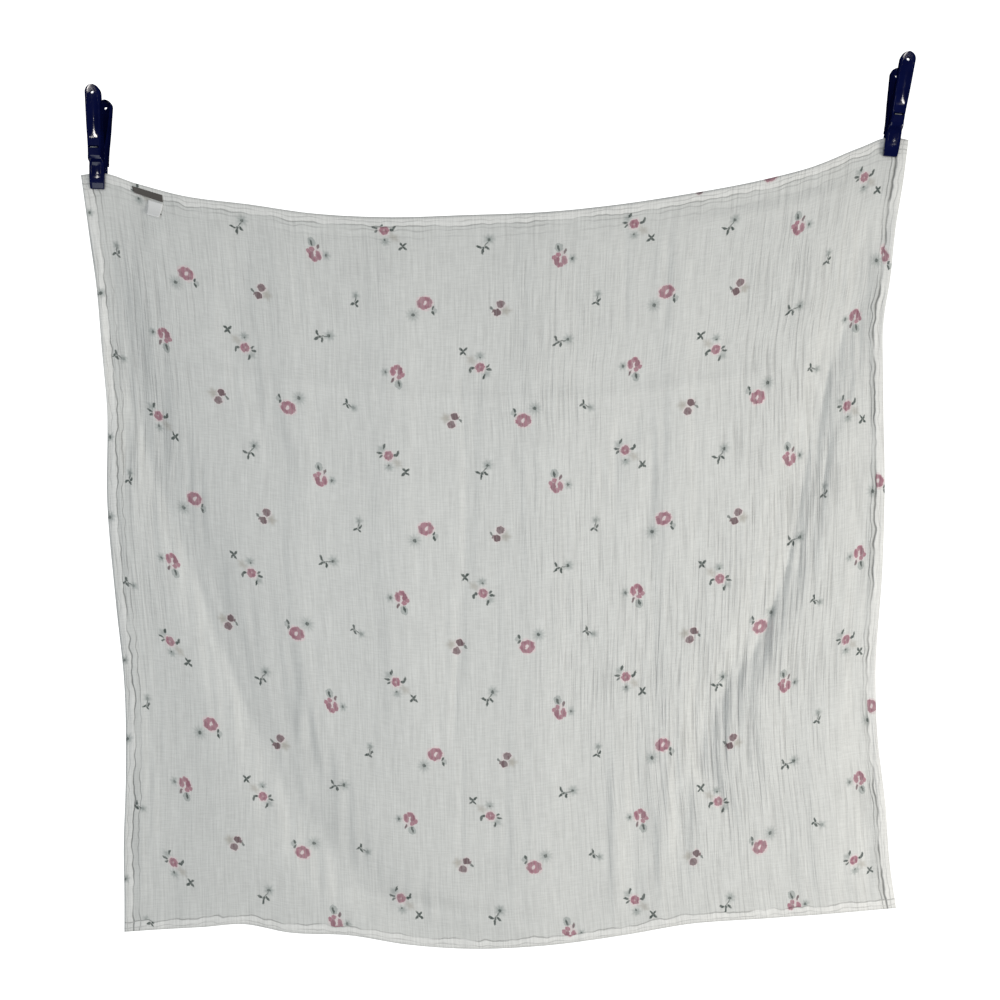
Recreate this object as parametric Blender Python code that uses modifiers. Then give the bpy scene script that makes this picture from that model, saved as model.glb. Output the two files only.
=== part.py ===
"""Swaddle blanket of cotton muslin, hung by its two top corners from two spring clothes pegs.

Metres, +Z up, +X to the right as seen from the front, and the front faces -Y.
The origin is the middle of the line between the two pegs' springs.
"""

import math
from collections import namedtuple

import bmesh
import bpy
import numpy as np
from mathutils import Matrix

MM = 0.001

# ---- the blanket
WIDTH = 1180 * MM  # cut and hemmed, laid flat
HEIGHT = 1090 * MM
FIELD_THICKNESS = 1.6 * MM  # two gauze layers with their crinkle
HEM_THICKNESS = 2.4 * MM
HEM_WIDTH = 14 * MM
COLUMNS = 54
ROWS = 36
SIDE_COLUMNS = 8  # columns in the close set next to each side hem
SIDE_SHARE = 0.1  # share of the width that they cover
DRAW_IN_LENGTH = 1.38  # cloth that comes forward by d is drawn in by d / this
MIDDLE = (0.005, -0.514)  # x and z that the cloth is drawn in towards

# ---- labels
LABEL_GAP = 0.5 * MM
LABEL_THICKNESS = 1.0 * MM

# Each label's corners lie on the cloth, in millimetres across and down from its upper left
# corner, in the order upper left, upper right, lower left, lower right. The lower edge curls
# forward by curl millimetres.
Label = namedtuple("Label", "name corners columns rows curl color")
LABELS = (
    Label("woven_label", ((73, 6), (117, 7), (75, 15), (117, 18)), 8, 3, 0.6, (0.08, 0.075, 0.07)),
    Label("care_label", ((95, 19.5), (117, 20), (92, 44), (110, 44)), 5, 6, 3.0, (0.8, 0.8, 0.78)),
)

# ---- pegs
ARM_LENGTH = 138 * MM
ARM_HALF_WIDTH = 10.5 * MM
JAW_FACE = 1.6 * MM  # each jaw's inner face from the peg's middle plane
WALL = 2.4 * MM
SHOULDER = 37 * MM  # height of the step between jaw and handle
SPRING_HEIGHT = 50 * MM
COIL_RADIUS = 4.4 * MM
COIL_TURNS = 3
COIL_HALF_LENGTH = 4.6 * MM
WIRE = 1.8 * MM
BAR_DEPTH = 19.4 * MM  # the spring's cross bars from the peg's middle plane
SLOT = (13 * MM, 3.4 * MM)
TIP_HOLE = 4.4 * MM
SPRING_X = 566 * MM  # each spring from the middle, across and up
SPRING_Z = 23 * MM

Peg = namedtuple("Peg", "name x z lean turn")
PEGS = (
    Peg("left_peg", -SPRING_X, -SPRING_Z, math.radians(0.5), math.radians(4)),
    Peg("right_peg", SPRING_X, SPRING_Z, math.radians(8), math.radians(-7)),
)

# The hung outline, x and z in millimetres, each edge from one corner to the next.
TOP_EDGE = (
    (-591, -52), (-564, -49), (-512, -64), (-448, -81), (-350, -94), (-267, -106), (-155, -112),
    (-45, -109), (77, -104), (173, -94), (266, -80), (382, -58), (450, -40), (517, -13),
    (562, 2), (586, -2),
)
LEFT_EDGE = (
    (-591, -52), (-580, -130), (-570, -201), (-561, -302), (-554, -383), (-553, -523),
    (-541, -659), (-529, -776), (-527, -907), (-530, -1016), (-529, -1070), (-529, -1128),
)
RIGHT_EDGE = (
    (586, -2), (579, -57), (568, -125), (559, -207), (552, -248), (550, -358), (552, -496),
    (549, -605), (539, -770), (542, -853), (553, -948), (559, -1030), (568, -1094),
)
BOTTOM_EDGE = (
    (-529, -1128), (-485, -1125), (-415, -1121), (-362, -1117), (-294, -1129), (-209, -1133),
    (-128, -1146), (-45, -1152), (63, -1148), (185, -1132), (272, -1117), (382, -1109),
    (490, -1101), (568, -1094),
)

# Folds: a soft ridge (+) or trough (-) along a path of (x, z) points in millimetres,
# from its top down, with its half width and its height, in millimetres.
Fold = namedtuple("Fold", "path half_width height")
FOLDS = (
    # the long curved troughs that fall from each peg towards the bottom middle
    Fold(((-560, -180), (-526, -315), (-489, -447), (-432, -581), (-384, -713), (-327, -865),
          (-270, -969), (-194, -1055), (-99, -1121)), 38, -18),
    Fold(((530, -120), (488, -296), (464, -353), (436, -467), (403, -618), (365, -713),
          (318, -780), (299, -827), (289, -900)), 34, -19),
    # the soft upright folds between them
    Fold(((-330, -130), (-325, -330), (-300, -560), (-262, -760)), 30, -8),
    Fold(((-268, -130), (-262, -330), (-240, -600), (-215, -800)), 26, 9),
    Fold(((-31, -140), (-42, -372), (-27, -514), (-49, -628), (-59, -784), (-51, -1080)), 14, -8),
    Fold(((100, -120), (110, -420), (90, -760), (80, -1120)), 42, 8),
    Fold(((211, -110), (211, -358), (205, -640), (197, -922), (200, -1100)), 22, -9),
    Fold(((285, -110), (300, -420), (262, -760), (235, -1090)), 30, 9),
    Fold(((380, -80), (372, -330), (350, -560)), 32, 7),
    Fold(((-150, -150), (-140, -600), (-120, -900)), 40, 5),
    # the upright folds beside each hem
    Fold(((-571, -87), (-545, -372), (-520, -656), (-500, -1100)), 16, 7),
    Fold(((560, -60), (527, -330), (520, -700), (530, -1080)), 17, -8),
    Fold(((-450, -690), (-455, -900), (-470, -1120)), 30, -8),
    Fold(((430, -760), (445, -950), (450, -1100)), 34, 8),
)
BILLOW = 24 * MM  # how far the middle of the cloth stands forward
TOP_LEAN = 6 * MM  # how far the middle of the top edge stands forward


def smooth_curve(points, shares):
    """x and z at each share of the way along a smooth curve through the points."""
    points = np.array(points, float) * MM
    steps = np.linalg.norm(np.diff(points, axis=0), axis=1)
    at = np.concatenate([[0.0], np.cumsum(steps)])
    slopes = np.gradient(points, at, axis=0)
    want = np.clip(shares, 0.0, 1.0) * at[-1]
    left = np.clip(np.searchsorted(at, want, side="right") - 1, 0, len(at) - 2)
    span = at[left + 1] - at[left]
    t = (want - at[left]) / span
    t, span = t[:, None], span[:, None]
    start, end = points[left], points[left + 1]
    return (
        (2 * t**3 - 3 * t**2 + 1) * start
        + (t**3 - 2 * t**2 + t) * span * slopes[left]
        + (3 * t**2 - 2 * t**3) * end
        + (t**3 - t**2) * span * slopes[left + 1]
    )


def hung_plane(across, down):
    """x and z of the cloth at shares across and down, spread between its four edges."""
    top = smooth_curve(TOP_EDGE, across)
    bottom = smooth_curve(BOTTOM_EDGE, across)
    left = smooth_curve(LEFT_EDGE, down)
    right = smooth_curve(RIGHT_EDGE, down)
    s, t = across[:, None], down[:, None]
    corners = np.array([TOP_EDGE[0], TOP_EDGE[-1], BOTTOM_EDGE[0], BOTTOM_EDGE[-1]]) * MM
    return (
        (1 - t) * top + t * bottom + (1 - s) * left + s * right
        - (1 - s) * (1 - t) * corners[0] - s * (1 - t) * corners[1]
        - (1 - s) * t * corners[2] - s * t * corners[3]
    )


def fold_height(x, z, fold):
    """How far one fold moves the cloth forward at each x and z."""
    path = smooth_curve(fold.path[::-1], np.linspace(0, 1, 60))
    middle = np.interp(z, path[:, 1], path[:, 0])
    slope = np.interp(z, path[:, 1], np.gradient(path[:, 0], path[:, 1]))
    beside = (x - middle) / np.sqrt(1 + slope**2)
    low, high = path[0, 1], path[-1, 1]
    fade = 90 * MM
    ends = np.clip((z - low) / fade + 0.5, 0, 1) * np.clip((high - z) / fade + 0.5, 0, 1)
    return fold.height * MM * ends * np.exp(-((beside / (fold.half_width * MM)) ** 2))


def gripped(x, z):
    """How firmly each peg holds the cloth at each x and z, and how far back its plane lies there."""
    hold = np.zeros_like(x)
    back = np.zeros_like(x)
    for peg in PEGS:
        jaw_z = peg.z - SPRING_HEIGHT * 0.7
        away = np.hypot(x - peg.x, z - jaw_z)
        near = np.clip((120 * MM - away) / (75 * MM), 0, 1)
        near = near * near * (3 - 2 * near)
        hold = np.maximum(hold, near)
        back = np.where(near > 0, (x - peg.x) * math.tan(peg.turn), back)
    return hold, back


def cloth_points(across, down):
    """The middle surface of the cloth at shares across and down."""
    plane = hung_plane(across, down)
    x, z = plane[:, 0], plane[:, 1]
    billow = np.sin(math.pi * across) * np.sin(math.pi * np.clip(down, 0, 1) ** 0.8)
    forward = BILLOW * billow + TOP_LEAN * np.sin(math.pi * across) * (1 - down)
    for fold in FOLDS:
        forward = forward + fold_height(x, z, fold)
    hold, back = gripped(x, z)
    depth = -forward * (1 - hold) + back * hold
    shrink = 1 + depth / DRAW_IN_LENGTH
    x = MIDDLE[0] + (x - MIDDLE[0]) * shrink
    z = MIDDLE[1] + (z - MIDDLE[1]) * shrink
    return np.stack([x, depth, z], axis=1)


def column_share(even):
    """Share of the width at an even share of the columns: hem columns, then a closer set."""
    stops = [0, 1 / COLUMNS, SIDE_COLUMNS / COLUMNS]
    shares = [0, HEM_WIDTH / WIDTH, SIDE_SHARE]
    stops += [1 - s for s in reversed(stops)]
    shares += [1 - s for s in reversed(shares)]
    return np.interp(even, stops, shares)


def row_share(even):
    """Share of the height at an even share of the rows, with one row for each hem."""
    hem = HEM_WIDTH / HEIGHT
    return np.interp(even, [0, 1 / ROWS, 1 - 1 / ROWS, 1], [0, hem, 1 - hem, 1])


def new_material(name, color, roughness, metallic=0.0):
    material = bpy.data.materials.new(name)
    material.use_nodes = True
    shader = material.node_tree.nodes["Principled BSDF"]
    shader.inputs["Base Color"].default_value = (*color, 1)
    shader.inputs["Roughness"].default_value = roughness
    shader.inputs["Metallic"].default_value = metallic
    return material


def new_object(name, mesh, material, collection):
    mesh.materials.append(material)
    mesh.shade_smooth()
    mesh.set_sharp_from_angle(angle=math.radians(40))
    made = bpy.data.objects.new(name, mesh)
    collection.objects.link(made)
    return made


def sheet_grid(columns, rows):
    """A flat grid and each point's even shares across and down."""
    grid = bmesh.new()
    bmesh.ops.create_grid(grid, x_segments=columns, y_segments=rows, size=0.5)
    flat = np.array([v.co for v in grid.verts])
    return grid, flat[:, 0] + 0.5, 0.5 - flat[:, 1]


def sheet_mesh(name, grid, points):
    for vertex, point in zip(grid.verts, points):
        vertex.co = point
    bmesh.ops.recalc_face_normals(grid, faces=grid.faces)
    mesh = bpy.data.meshes.new(name)
    grid.to_mesh(mesh)
    grid.free()
    return mesh


def solidify(obj, thickness, group=None, thin_share=1.0):
    shell = obj.modifiers.new("thickness", "SOLIDIFY")
    shell.thickness = thickness
    shell.offset = 0
    if group:
        shell.vertex_group = group
        shell.thickness_vertex_group = thin_share


def make_blanket(collection):
    grid, even_across, even_down = sheet_grid(COLUMNS, ROWS)
    across, down = column_share(even_across), row_share(even_down)
    mesh = sheet_mesh("blanket", grid, cloth_points(across, down))
    cotton = new_material("cotton_muslin", (0.55, 0.56, 0.54), 0.95)
    blanket = new_object("blanket", mesh, cotton, collection)
    hem = blanket.vertex_groups.new(name="hem")
    edge = 0.5 / COLUMNS
    side = np.minimum(even_across, 1 - even_across)
    end = np.minimum(even_down, 1 - even_down)
    outer = (side < edge) | (end < edge)
    hem.add([int(i) for i in np.flatnonzero(outer)], 1.0, "REPLACE")
    solidify(blanket, HEM_THICKNESS, "hem", FIELD_THICKNESS / HEM_THICKNESS)


def make_label(label, collection):
    """A small tape that follows the cloth, standing clear of its front."""
    grid, s, t = sheet_grid(label.columns, label.rows)
    corners = np.array(label.corners, float) * MM
    s, t = s[:, None], t[:, None]
    place = (
        (1 - s) * (1 - t) * corners[0] + s * (1 - t) * corners[1]
        + (1 - s) * t * corners[2] + s * t * corners[3]
    )
    points = cloth_points(place[:, 0] / WIDTH, place[:, 1] / HEIGHT)
    stand_off = HEM_THICKNESS / 2 + LABEL_GAP + LABEL_THICKNESS / 2
    points[:, 1] -= stand_off + label.curl * MM * t[:, 0] ** 2
    mesh = sheet_mesh(label.name, grid, points)
    tape = new_material(label.name + "_tape", label.color, 0.8)
    solidify(new_object(label.name, mesh, tape, collection), LABEL_THICKNESS)


# The arm's outline seen from the front: height and half width, in millimetres.
ARM_OUTLINE = (
    (0, 9.6), (14, 10.5), (32, 10.5), (44, 9.6), (56, 9.4), (82, 9.9), (127.5, 10.5),
)
# The arm's outline seen from its side: height and depth from the peg's middle plane.
ARM_OUTSIDE = ((0, 6.4), (20, 8.6), (32, 9.6), (SHOULDER / MM, 10.4), (SHOULDER / MM, 18.6),
               (54, 20.6), (90, 25.6), (ARM_LENGTH / MM, 31))
ARM_INSIDE = ((ARM_LENGTH / MM, 22), (100, 13), (64, JAW_FACE / MM), (0, JAW_FACE / MM))


def half_width_at(height):
    heights, widths = zip(*ARM_OUTLINE)
    return np.interp(height, heights, widths)


def front_outline(inset=0.0, low=0.0):
    """Points of the arm's outline from the front, with a round top, as x and height."""
    right = [(half_width_at(max(h, low)) - inset, max(h, low)) for h, _ in ARM_OUTLINE]
    right = [p for i, p in enumerate(right) if i == 0 or p[1] > right[i - 1][1]]
    radius = ARM_HALF_WIDTH / MM - inset
    centre = (ARM_LENGTH - ARM_HALF_WIDTH) / MM
    turns = [math.pi * i / 14 for i in range(1, 14)]
    top = [(radius * math.cos(a), centre + radius * math.sin(a)) for a in turns]
    left = [(-x, h) for x, h in reversed(right)]
    return [(x * MM, h * MM) for x, h in right + top + left]


def side_outline(inset=0.0):
    """Points of the arm's outline from its side, as depth and height."""
    outside = [((d - inset) * MM, h * MM) for h, d in ARM_OUTSIDE]
    inside = [(d * MM, h * MM) for h, d in ARM_INSIDE]
    return outside + inside


def prism(outline, axis, low, high):
    """A bmesh of the outline (first value across or in depth, second up) run along an axis."""
    solid = bmesh.new()
    place = (lambda a, h: (a, low, h)) if axis == "y" else (lambda a, h: (low, a, h))
    face = solid.faces.new([solid.verts.new(place(a, h)) for a, h in outline])
    run = bmesh.ops.extrude_face_region(solid, geom=[face])
    moved = [v for v in run["geom"] if isinstance(v, bmesh.types.BMVert)]
    step = (0, high - low, 0) if axis == "y" else (high - low, 0, 0)
    bmesh.ops.translate(solid, verts=moved, vec=step)
    bmesh.ops.recalc_face_normals(solid, faces=solid.faces)
    return solid


def helper(name, solid, cutters):
    mesh = bpy.data.meshes.new(name)
    solid.to_mesh(mesh)
    solid.free()
    made = bpy.data.objects.new(name, mesh)
    made.hide_render = True
    made.display_type = "WIRE"
    cutters.objects.link(made)
    return made


def boolean(obj, other, operation):
    cut = obj.modifiers.new(other.name, "BOOLEAN")
    cut.operation = operation
    cut.object = other


def arm_cutters(cutters):
    """The bodies that trim and hollow a peg arm whose outside faces +Y."""
    width = ARM_HALF_WIDTH * 2
    side = helper("arm_side", prism(side_outline(), "x", -width, width), cutters)
    wall = WALL / MM
    pocket_front = helper(
        "pocket_front", prism(front_outline(wall, SHOULDER / MM + wall), "y", -0.01, 0.05), cutters
    )
    pocket_side = helper("pocket_side", prism(pocket_profile(), "x", -width, width), cutters)
    boolean(pocket_front, pocket_side, "INTERSECT")
    slot = bmesh.new()
    bmesh.ops.create_cube(slot, size=1)
    bmesh.ops.scale(slot, vec=(SLOT[0], 0.02, SLOT[1]), verts=slot.verts)
    bmesh.ops.translate(
        slot, vec=(0, BAR_DEPTH, SPRING_HEIGHT + COIL_RADIUS), verts=slot.verts
    )
    hole = bmesh.new()
    bmesh.ops.create_cone(
        hole, cap_ends=True, segments=20, radius1=TIP_HOLE / 2, radius2=TIP_HOLE / 2, depth=0.08
    )
    bmesh.ops.rotate(hole, verts=hole.verts, matrix=Matrix.Rotation(math.pi / 2, 3, "X"))
    bmesh.ops.translate(hole, vec=(0, 0, ARM_LENGTH - ARM_HALF_WIDTH), verts=hole.verts)
    return side, pocket_front, helper("slot", slot, cutters), helper("tip_hole", hole, cutters)


def pocket_profile():
    """The hollow's outline from the side: a wall inside the arm's outside, open to the inside."""
    outside = [(h, d) for h, d in ARM_OUTSIDE if h >= SHOULDER / MM and d > 12]
    deep = [((d - WALL / MM) * MM, h * MM) for h, d in outside]
    return deep + [(-0.01, ARM_LENGTH), (-0.01, SHOULDER)]


def peg_arm_mesh(cutters):
    """One moulded arm: its front outline trimmed to its side outline, then hollowed."""
    blank = helper("arm_blank", prism(front_outline(), "y", 0, 0.04), cutters)
    side, pocket, slot, hole = arm_cutters(cutters)
    boolean(blank, side, "INTERSECT")
    for cutter in (pocket, slot, hole):
        boolean(blank, cutter, "DIFFERENCE")
    edge = blank.modifiers.new("edges", "BEVEL")
    edge.width = 0.7 * MM
    edge.segments = 2
    edge.limit_method = "ANGLE"
    edge.angle_limit = math.radians(50)
    graph = bpy.context.evaluated_depsgraph_get()
    mesh = bpy.data.meshes.new_from_object(blank.evaluated_get(graph))
    mesh.name = "peg_arm"
    return mesh


def spring_points():
    """The wire's route: a cross bar, a leg, the coil, a leg and a cross bar."""
    top = SPRING_HEIGHT + COIL_RADIUS
    side = COIL_HALF_LENGTH
    points = [(side, -BAR_DEPTH, top), (-side, -BAR_DEPTH, top), (-side, -BAR_DEPTH + side, top)]
    steps = 14 * COIL_TURNS
    for i in range(steps + 1):
        angle = 2 * math.pi * COIL_TURNS * i / steps
        x = -side + 2 * side * i / steps
        y = COIL_RADIUS * math.sin(angle)
        z = SPRING_HEIGHT + COIL_RADIUS * math.cos(angle)
        points.append((x, y, z))
    points += [(side, BAR_DEPTH - side, top), (side, BAR_DEPTH, top), (-side, BAR_DEPTH, top)]
    return points


def make_spring(name, collection, material):
    curve = bpy.data.curves.new(name, "CURVE")
    curve.dimensions = "3D"
    curve.bevel_depth = WIRE / 2
    curve.bevel_resolution = 1
    curve.use_fill_caps = True
    points = spring_points()
    wire = curve.splines.new("POLY")
    wire.points.add(len(points) - 1)
    for control, point in zip(wire.points, points):
        control.co = (*point, 1)
    curve.materials.append(material)
    made = bpy.data.objects.new(name, curve)
    collection.objects.link(made)
    return made


def make_pegs(collection, cutters):
    navy = new_material("navy_polypropylene", (0.004, 0.01, 0.06), 0.2)
    steel = new_material("spring_steel", (0.6, 0.6, 0.6), 0.3, 1.0)
    arm_mesh = peg_arm_mesh(cutters)
    for peg in PEGS:
        pivot = bpy.data.objects.new(peg.name, None)
        pivot.rotation_euler = (0, peg.lean, peg.turn)
        collection.objects.link(pivot)
        pivot.location = (peg.x, 0, peg.z)
        parts = (
            (new_object(peg.name + "_front_arm", arm_mesh.copy(), navy, collection), math.pi),
            (new_object(peg.name + "_back_arm", arm_mesh.copy(), navy, collection), 0),
            (make_spring(peg.name + "_spring", collection, steel), 0),
        )
        for part, turned in parts:
            part.parent = pivot
            part.location.z = -SPRING_HEIGHT
            part.rotation_euler.z = turned


def clear_scene():
    for obj in list(bpy.data.objects):
        bpy.data.objects.remove(obj)


def new_collection(name):
    made = bpy.data.collections.new(name)
    bpy.context.scene.collection.children.link(made)
    return made


def main():
    clear_scene()
    blanket_set = new_collection("hung_swaddle_blanket")
    cutters = new_collection("cutters")
    make_blanket(blanket_set)
    for label in LABELS:
        make_label(label, blanket_set)
    make_pegs(blanket_set, cutters)


main()
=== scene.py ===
import math
from functools import reduce
from itertools import groupby

import bmesh
import bpy
import numpy as np
from mathutils import Matrix, Vector, noise


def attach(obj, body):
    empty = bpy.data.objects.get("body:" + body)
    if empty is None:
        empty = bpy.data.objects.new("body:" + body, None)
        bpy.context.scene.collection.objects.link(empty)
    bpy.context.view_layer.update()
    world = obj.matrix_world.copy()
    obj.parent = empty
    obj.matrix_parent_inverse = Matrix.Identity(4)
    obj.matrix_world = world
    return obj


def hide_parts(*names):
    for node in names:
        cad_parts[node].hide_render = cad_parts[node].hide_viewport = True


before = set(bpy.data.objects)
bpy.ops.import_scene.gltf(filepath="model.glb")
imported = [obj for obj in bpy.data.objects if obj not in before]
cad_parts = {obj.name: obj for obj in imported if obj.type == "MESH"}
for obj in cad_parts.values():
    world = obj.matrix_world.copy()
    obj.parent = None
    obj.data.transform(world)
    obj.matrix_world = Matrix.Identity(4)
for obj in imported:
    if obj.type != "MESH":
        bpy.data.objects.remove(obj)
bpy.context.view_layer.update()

mm = 0.001


def toLinear(hexColor, alpha=1.0):  # "#rrggbb" to linear light
    parts = [int(hexColor[i:i + 2], 16) / 255 for i in (1, 3, 5)]
    return tuple(c / 12.92 if c <= 0.04045 else ((c + 0.055) / 1.055) ** 2.4 for c in parts) + (alpha,)


def newMaterial(name):
    made = bpy.data.materials.new(name)
    made.use_nodes = True
    made.node_tree.nodes.clear()
    return made, made.node_tree


# a node with its settings, its fixed input values and the sockets that feed it
def addNode(tree, kind, values=None, links=None, **settings):
    node = tree.nodes.new(kind)
    for key, value in settings.items():
        setattr(node, key, value)
    for key, value in (values or {}).items():
        node.inputs[key].default_value = value
    for key, socket in (links or {}).items():
        tree.links.new(socket, node.inputs[key])
    return node


# The blanket: double gauze cotton, hemmed all round, hung by its two top corners.
# Edges and folds are x and z in millimetres, as the CAD solid has them.
blanketPlan = {
    "width": 1180 * mm,
    "height": 1090 * mm,
    "fieldThickness": 1.0 * mm,
    "hemThickness": 1.9 * mm,
    "hemWidth": 14 * mm,
    "columns": 330,
    "rows": 148,
    "hemColumns": 4,  # how many of the columns and rows lie in the hem on each side
    "hemRows": 3,
    "drawInLength": 1.38,  # cloth that comes forward by d is drawn in by d / this
    "middle": (0.005, -0.514),  # x and z that it is drawn in towards
    "billow": 24 * mm,  # how far the middle stands forward
    "billowRise": 0.8,  # below 1 the fullest part lies above the middle
    "topLean": 6 * mm,
    "pleatDepth": 0.6 * mm,  # the fine upright crinkle of the gauze
    "pleatWidth": 11 * mm,
    "pleatLength": 260 * mm,
    "broadPleats": (2.6, 0.6),  # wider pleats among them: times as wide, share of the depth
    "patchSize": (220 * mm, 300 * mm),  # the crinkle comes and goes in patches
    "patchShare": 0.8,
    "raggedBy": 14 * mm,  # how far small upright pleats push the folds aside
    "raggedWidth": 13 * mm,
    "raggedLength": 130 * mm,
    "puckerDepth": 0.5 * mm,  # the small waves that the stitching leaves in the hem
    "puckerLength": 17 * mm,
    "puckerWidth": 50 * mm,
    "foldFade": 90 * mm,  # how far the ends of folds and creases take to fade out
    "creaseFade": 50 * mm,
    "acrossFade": 60 * mm,
    "topEdge": [
        (-591, -52), (-564, -49), (-512, -64), (-448, -81), (-350, -94), (-267, -106), (-155, -112),
        (-45, -109), (77, -104), (173, -94), (266, -80), (382, -58), (450, -40), (517, -13),
        (562, 2), (586, -2)],
    "leftEdge": [
        (-591, -52), (-580, -130), (-570, -201), (-561, -302), (-554, -383), (-553, -523),
        (-541, -659), (-529, -776), (-527, -907), (-530, -1016), (-529, -1070), (-529, -1128)],
    "rightEdge": [
        (586, -2), (579, -57), (568, -125), (559, -207), (552, -248), (550, -358), (552, -496),
        (549, -605), (539, -770), (542, -853), (553, -948), (559, -1030), (568, -1094)],
    "bottomEdge": [
        (-529, -1128), (-485, -1125), (-415, -1121), (-362, -1117), (-294, -1129), (-209, -1133),
        (-128, -1146), (-45, -1152), (63, -1148), (185, -1132), (272, -1117), (382, -1109),
        (490, -1101), (568, -1094)],
}

noiseSeeds = {
    "pleats": 3.7, "broadPleats": 9.1, "patches": 5.3, "sideWaves": 1.9, "endWaves": 6.4,
    "ragged": 4.4,
}

# Each fold: its path from the top down, its half width, and its height (a trough is negative),
# all in millimetres.
foldPlan = [
    ([(-560, -180), (-526, -315), (-489, -447), (-432, -581), (-384, -713), (-327, -865),
      (-270, -969), (-194, -1055), (-99, -1121)], 38, -11),  # the long swag from the left peg
    ([(530, -120), (488, -296), (464, -353), (436, -467), (403, -618), (365, -713),
      (318, -780), (299, -827), (289, -900)], 28, -12),  # and from the right peg
    ([(-362, -130), (-360, -330), (-330, -400), (-295, -470)], 20, -2.5),
    ([(-310, -730), (-290, -830), (-250, -905), (-228, -950)], 20, -5),
    ([(-300, -130), (-296, -300), (-288, -400), (-275, -480), (-280, -660), (-262, -880)], 24, 2.5),
    ([(-42, -300), (-38, -514), (-49, -628), (-59, -784)], 14, -2),
    ([(60, -120), (70, -420), (60, -760), (50, -1120)], 42, 4),
    ([(202, -360), (196, -400), (176, -440), (168, -520)], 16, -4),
    ([(222, -400), (214, -600), (205, -800), (197, -1100)], 18, -2.6),
    ([(260, -130), (262, -330), (250, -600)], 26, 4),
    ([(175, -880), (174, -1080)], 12, 4),
    ([(252, -900), (240, -960), (236, -1080)], 12, 4),
    ([(262, -910), (264, -1040)], 9, -4),
    ([(300, -830), (292, -880), (310, -930), (335, -960)], 12, -5),
    ([(400, -700), (380, -790), (400, -900)], 26, 5),
    ([(-150, -150), (-140, -600), (-120, -900)], 40, 4),
    ([(-571, -87), (-545, -372), (-520, -656), (-500, -1100)], 14, 2),
    ([(560, -60), (527, -330), (520, -700), (530, -1080)], 14, -3),
    ([(-470, -700), (-455, -900), (-470, -1120)], 36, -2),
    ([(470, -760), (465, -950), (470, -1100)], 34, 5),
]

# Narrower creases, as the folds above.
creasePlan = [
    ([(505, -240), (474, -330), (452, -420), (424, -560), (388, -680), (348, -760)], 7, -3.0),
    ([(520, -300), (486, -400), (462, -500), (440, -600)], 5, -1.6),
    ([(478, -272), (449, -486), (417, -656)], 4, -2.0),  # and the close pleats along it
    ([(463, -301), (431, -514), (396, -713)], 4, -2.2),
    ([(443, -343), (411, -571), (372, -770)], 4, -1.8),
    ([(495, -230), (477, -400), (453, -599)], 4, -2.0),
    ([(417, -400), (389, -599), (353, -799)], 5, -1.8),
    ([(396, -471), (363, -656)], 4, -1.6),
    ([(-530, -330), (-500, -440), (-448, -570), (-400, -700), (-340, -850)], 8, -2.2),
    ([(-48, -333), (-45, -470), (-46, -609)], 5, -1.6),  # the pressed line down the middle
    ([(-52, -713), (-58, -790), (-62, -863)], 5, -1.4),
    ([(-49, -870), (-51, -1040)], 4, -1.2),
    ([(183, -87), (183, -273)], 6, -1.4),
    ([(225, -460), (222, -840)], 6, -1.6),
    ([(244, -116), (243, -273)], 6, -1.2),
    ([(468, -187), (474, -359)], 4, -1.8),  # the bundle of small pleats under the right peg
    ([(479, -187), (484, -400)], 4, -1.8),
    ([(490, -187), (493, -359)], 4, -1.8),
    ([(502, -130), (505, -400)], 4, -1.6),
    ([(514, -100), (517, -380)], 4, -1.8),
    ([(526, -90), (529, -340)], 4, -1.6),
    ([(-560, -90), (-553, -250), (-546, -420)], 5, -1.5),  # the bundle under the left peg
    ([(-551, -100), (-540, -270), (-528, -480)], 5, -1.8),
    ([(-536, -110), (-524, -290), (-512, -520)], 5, -1.4),
    ([(-522, -120), (-508, -300), (-497, -560)], 5, -1.4),
    ([(-498, -380), (-488, -520), (-470, -700)], 6, -0.8),
    ([(246, -676), (262, -690), (280, -704)], 4, -1.4),  # short slanted creases beside the swag
    ([(262, -668), (280, -684), (302, -700)], 4, -1.4),
]

# Creases that run across, from the left: the lines that packing pressed in, and the soft
# waves above the bottom hem. Path, half width and height, in millimetres.
acrossPlan = [
    ([(-522, -322), (-337, -339), (-38, -369), (104, -369), (389, -332)], 8, 1.8),
    ([(-166, -910), (33, -912)], 8, 1.6),
    ([(318, -612), (370, -604), (424, -594)], 8, 2.6),
    ([(318, -628), (370, -620), (424, -610)], 8, -2.4),
    ([(-223, -1070), (-100, -1092), (30, -1110)], 9, -2.2),
    ([(-223, -1086), (-80, -1110), (60, -1128)], 7, 1.8),
    ([(-200, -1052), (-60, -1080), (40, -1092)], 9, 1.4),
    ([(218, -1104), (330, -1082), (546, -1072)], 7, -1.6),
    ([(218, -1090), (360, -1066), (546, -1058)], 8, 1.2),
    ([(-440, -108), (-300, -130), (-120, -140)], 6, -1.4),
    ([(-470, -92), (-330, -118), (-150, -126)], 5, 1.2),
    ([(300, -100), (430, -74), (520, -44)], 6, -1.6),
    ([(290, -118), (430, -92), (515, -62)], 6, 1.4),
]

# Where the gauze crinkles most: x, z, half width, half height in millimetres, and how much.
crinklePlan = [
    (-500, -400, 60, 330, 0.5), (431, -440, 110, 480, 0.75), (290, -830, 110, 230, 0.8),
    (90, -340, 90, 230, 0.45), (133, -713, 80, 150, 0.45), (-300, -200, 200, 80, 0.15),
    (540, -900, 40, 200, 0.4),
]
quietCrinkle = 0.12  # and everywhere else


def crinkleShare(x, z):
    share = np.full_like(x, quietCrinkle)
    for middleX, middleZ, halfWidth, halfHeight, amount in crinklePlan:
        beside = (x / mm - middleX) / halfWidth
        above = (z / mm - middleZ) / halfHeight
        share = share + amount * np.exp(-(beside**2) - above**2)
    return np.clip(share, 0, 1.2)


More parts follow.
